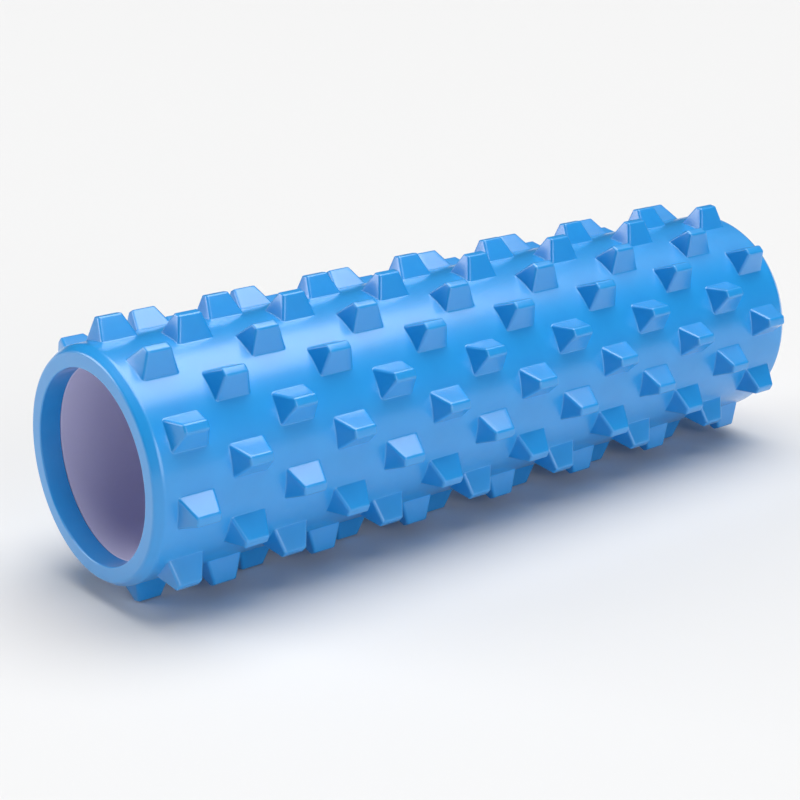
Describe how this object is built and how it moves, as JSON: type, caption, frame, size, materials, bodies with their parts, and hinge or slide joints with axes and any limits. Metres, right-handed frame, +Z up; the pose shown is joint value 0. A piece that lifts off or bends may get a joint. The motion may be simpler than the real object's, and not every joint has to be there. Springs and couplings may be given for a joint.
{
  "type": "foam roller",
  "caption": "Textured foam massage roller: a one-piece foam sleeve with staggered rows of raised nubs and inward end lips, on a rigid hollow core tube.",
  "frame": {"origin": "centre of the roller, on the axis of its bore, halfway between the end faces", "axes": "+X along the roller's bore, +Z up with the roller lying on two rows of nubs"},
  "size_m": [0.45, 0.144, 0.144],
  "materials": {
    "foam": "satin, closed-cell moulded EVA foam with a smooth skin",
    "core": "semi-matt extruded plastic tube"
  },
  "bodies": {
    "root": {"foam_sleeve": "foam", "core_tube": "core"}
  },
  "joints": []
}
